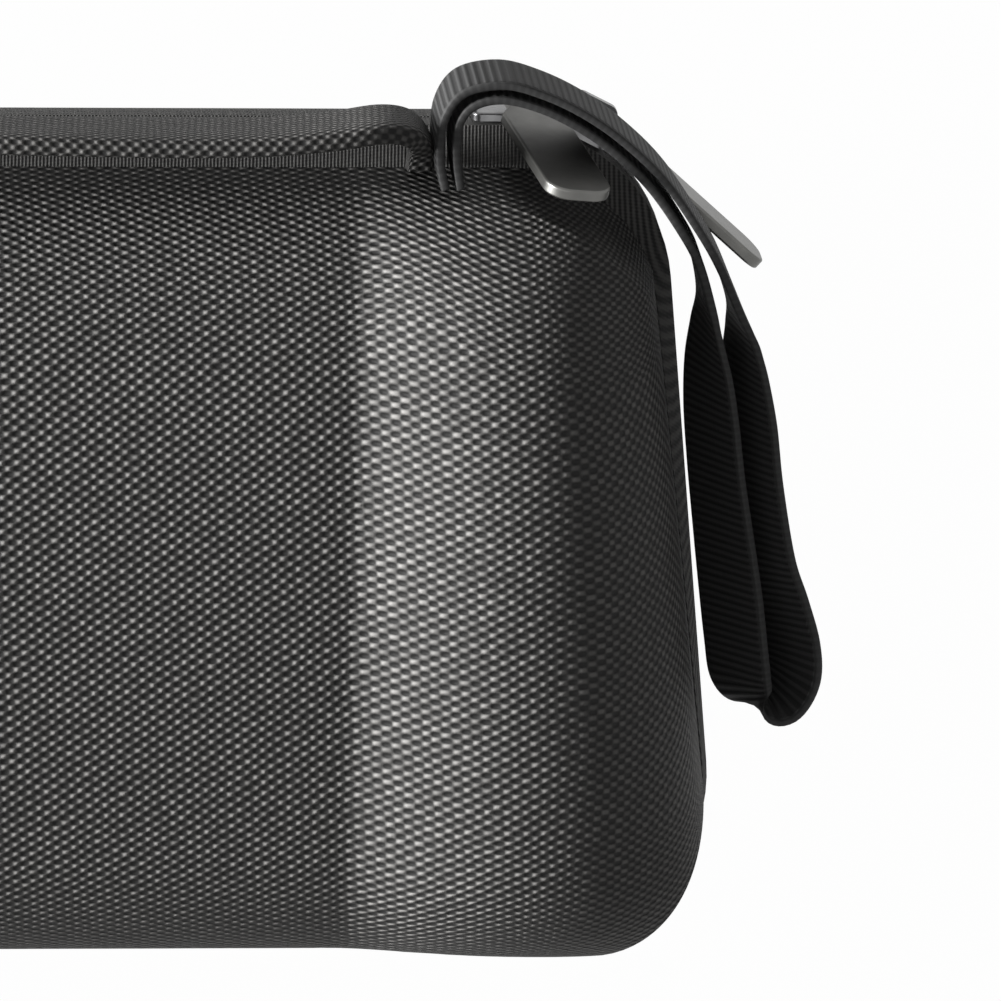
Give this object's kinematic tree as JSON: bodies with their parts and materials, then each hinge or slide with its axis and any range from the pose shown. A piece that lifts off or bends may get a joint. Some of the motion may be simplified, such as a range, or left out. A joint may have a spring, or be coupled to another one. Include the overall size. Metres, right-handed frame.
{
  "type": "handheld console carrying case",
  "caption": "Zipped hard case for a handheld console: domed fabric lid with side bulges, hinged on a flat base with foam insert, handle, wrist strap and mesh pocket.",
  "frame": {"origin": "middle of the flat back face", "axes": "+X to the right, +Y from the hinge side to the handle side, +Z out of the back through the lid"},
  "size_m": [0.318, 0.1515, 0.071],
  "materials": {
    "shell_fabric": "coarse weave",
    "zip_coil": "satin",
    "zip_tape": "fine weave",
    "binding": "ribbed tape",
    "zip_stop": "satin",
    "hinge_fabric": "plain weave",
    "zip_metal": "dark gunmetal",
    "handle_fabric": "coarse weave",
    "webbing": "ribbed",
    "lining": "short pile",
    "elastic": "ribbed",
    "loop_patch": "looped pile",
    "mesh": "open mesh"
  },
  "bodies": {
    "base": {"base_shell": "shell_fabric", "base_zip_coil": "zip_coil", "base_zip_tape": "zip_tape", "base_seam_binding": "binding", "base_zip_stops": "zip_stop", "hinge_strip": "hinge_fabric", "foam_insert": "lining", "left_hold_strap": "elastic", "right_hold_strap": "elastic", "left_loop_patch": "loop_patch", "right_loop_patch": "loop_patch"},
    "lid": {"lid_shell": "shell_fabric", "lid_zip_coil": "zip_coil", "lid_zip_tape": "zip_tape", "lid_seam_binding": "binding", "lid_zip_stops": "zip_stop", "carry_handle": "handle_fabric", "wrist_strap": "webbing", "mesh_pocket": "mesh", "mesh_trim": "binding", "mesh_hem": "elastic"},
    "left_slider": {"left_slider": "zip_metal"},
    "right_slider": {"right_slider": "zip_metal"},
    "left_pull": {"left_pull": "zip_metal"},
    "right_pull": {"right_pull": "zip_metal"}
  },
  "joints": [
    {"name": "lid_hinge", "type": "hinge", "parent": "base", "child": "lid", "pos_m": [0, -0.07, 0.026], "axis": [1, 0, 0], "range_deg": [0, 148], "deforming": ["hinge_strip"]},
    {"name": "left_slider_travel", "type": "slide", "parent": "lid", "child": "left_slider", "axis": [1, 0, 0], "range_m": [-0.2287, 0], "deforming": ["carry_handle", "wrist_strap"]},
    {"name": "right_slider_corner", "type": "hinge", "parent": "lid", "child": "right_slider", "pos_m": [0.11517, 0.038, 0.026], "axis": [0, 0, 1], "range_deg": [-46, 0]},
    {"name": "left_pull_swing", "type": "hinge", "parent": "left_slider", "child": "left_pull", "pos_m": [0.11782, 0.0684, 0.026], "axis": [0, 1, 0], "range_deg": [-22, 32], "deforming": ["wrist_strap"]},
    {"name": "right_pull_swing", "type": "hinge", "parent": "right_slider", "child": "right_pull", "pos_m": [0.12943, 0.06598, 0.026], "axis": [0, 0, 1], "range_deg": [0, 150]}
  ]
}
